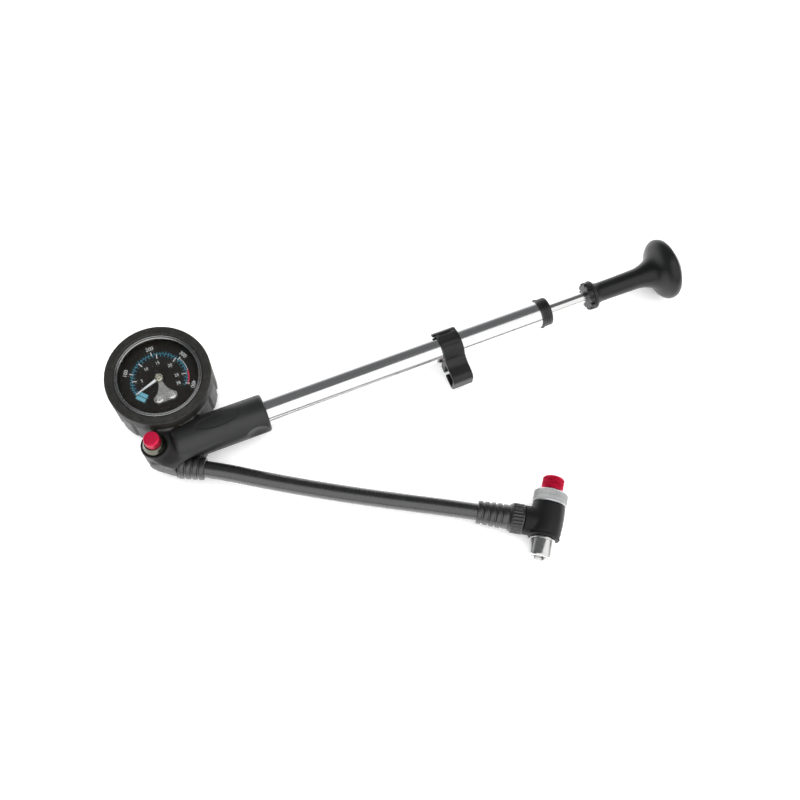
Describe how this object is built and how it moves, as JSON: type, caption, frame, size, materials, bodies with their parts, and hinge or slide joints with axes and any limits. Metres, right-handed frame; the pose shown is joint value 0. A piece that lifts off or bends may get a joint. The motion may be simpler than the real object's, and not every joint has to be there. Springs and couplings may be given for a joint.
{
  "type": "shock suspension pump",
  "caption": "Slim hand pump with a dial pressure gauge, palm knob, bleed button, and a short hose that ends in a screw-on valve chuck.",
  "frame": {"origin": "on the gauge's axis at the boot's back face, where the pump rests on a table", "axes": "+X along the barrel from the head to the palm knob, +Z out of the gauge's face, +Y from the barrel to the gauge"},
  "size_m": [0.2898, 0.1719, 0.032],
  "materials": {
    "boot_rubber": "matte dark grey moulded rubber with fine rings on the front",
    "case_steel": "pressed steel",
    "bezel_metal": "polished ring",
    "lens_clear": "clear polycarbonate",
    "seal_rubber": "black nitrile",
    "dial_black": "black printed disc",
    "plate_metal": "blanked bright plate",
    "screw_steel": "plated steel",
    "brass": "turned brass",
    "needle_white": "painted white",
    "head_plastic": "satin black glass-filled nylon",
    "collar_metal": "dark polished ring",
    "anodised_red": "red anodised aluminium",
    "spring_steel": "spring wire",
    "barrel_alloy": "polished aluminium tube",
    "cap_plastic": "satin black plastic",
    "bush_acetal": "natural acetal",
    "clip_plastic": "black moulded plastic strap",
    "rod_alloy": "polished aluminium rod",
    "handle_plastic": "soft satin black plastic",
    "hose_rubber": "smooth black hose cover",
    "boot_black": "black ribbed rubber sleeve",
    "nut_plastic": "black ridged plastic",
    "chuck_black": "satin black anodised body",
    "nozzle_metal": "turned bright metal",
    "ring_metal": "bright knurled ring"
  },
  "bodies": {
    "pump_body": {"gauge_boot": "boot_rubber", "gauge_case": "case_steel", "bezel_ring": "bezel_metal", "lens": "lens_clear", "lens_gasket": "seal_rubber", "dial_plate": "dial_black", "movement_plate": "plate_metal", "plate_screws": "screw_steel", "movement_base": "brass", "bourdon_tube": "brass", "gauge_stem": "brass", "stem_gasket": "seal_rubber", "head_body": "head_plastic", "button_collar": "collar_metal", "bleed_spring": "spring_steel", "bleed_plug": "brass", "valve_seat": "brass", "barrel_seal": "seal_rubber", "barrel": "barrel_alloy", "barrel_cap": "cap_plastic", "rod_bush": "bush_acetal", "rod_wiper": "seal_rubber", "head_nipple": "brass", "head_boot": "boot_black", "hose": "hose_rubber", "chuck_nipple": "brass", "chuck_boot": "boot_black", "hose_nut": "nut_plastic", "chuck_body": "chuck_black"},
    "needle": {"pointer_shaft": "brass", "pointer": "needle_white"},
    "sector": {"sector_gear": "brass"},
    "button": {"bleed_button": "anodised_red", "bleed_pin": "screw_steel", "bleed_seal": "seal_rubber"},
    "check_valve": {"check_disc": "seal_rubber"},
    "clip": {"hose_clip": "clip_plastic"},
    "plunger": {"rod": "rod_alloy", "piston": "brass", "piston_cup": "seal_rubber", "piston_o_ring": "seal_rubber", "piston_screw": "screw_steel", "bumper": "seal_rubber", "handle_collar": "cap_plastic", "handle": "handle_plastic", "handle_screw": "screw_steel", "handle_plug": "handle_plastic"},
    "nozzle": {"nozzle": "nozzle_metal", "nozzle_seal": "seal_rubber", "nozzle_o_rings": "seal_rubber", "knurled_ring": "ring_metal"},
    "pin": {"plunger_pin": "screw_steel"},
    "knob": {"core_knob": "anodised_red"}
  },
  "joints": [
    {"name": "pump_stroke", "type": "slide", "parent": "pump_body", "child": "plunger", "axis": [1, 0, 0], "range_m": [-0.021, 0.119]},
    {"name": "clip_slide", "type": "slide", "parent": "pump_body", "child": "clip", "axis": [1, 0, 0], "range_m": [-0.085, 0.042]},
    {"name": "needle_turn", "type": "hinge", "parent": "pump_body", "child": "needle", "pos_m": [0, 0, 0.0264], "axis": [0, 0, -1], "range_deg": [0, 232], "stiffness_Nm_per_rad": 0.00002, "springref_deg": -11.46},
    {"name": "sector_swing", "type": "hinge", "parent": "pump_body", "child": "sector", "pos_m": [0, 0.01225, 0.0215], "axis": [0, 0, 1], "range_deg": [0, 39]},
    {"name": "button_press", "type": "slide", "parent": "pump_body", "child": "button", "axis": [0, 0, -1], "range_m": [0, 0.0019], "stiffness_N_per_m": 600, "springref_m": -0.002, "deforming": ["bleed_spring"]},
    {"name": "valve_lift", "type": "slide", "parent": "pump_body", "child": "check_valve", "axis": [-1, 0, 0], "range_m": [0, 0.0012]},
    {"name": "nozzle_spin", "type": "hinge", "parent": "pump_body", "child": "nozzle", "pos_m": [0.1461, -0.1302, 0.0083], "axis": [0.5764, 0.8171, 0], "continuous": true},
    {"name": "pin_travel", "type": "slide", "parent": "nozzle", "child": "pin", "axis": [0.5764, 0.8171, 0], "range_m": [-0.0008, 0.0008]},
    {"name": "knob_turn", "type": "hinge", "parent": "pin", "child": "knob", "pos_m": [0.1461, -0.1302, 0.0083], "axis": [0.5764, 0.8171, 0], "range_deg": [-360, 360]}
  ],
  "couplings": [
    {"joint": "sector_swing", "follows": "needle_turn", "ratio": 0.16667},
    {"joint": "knob_turn", "follows": "pin_travel", "rad_per_m": 7854}
  ]
}
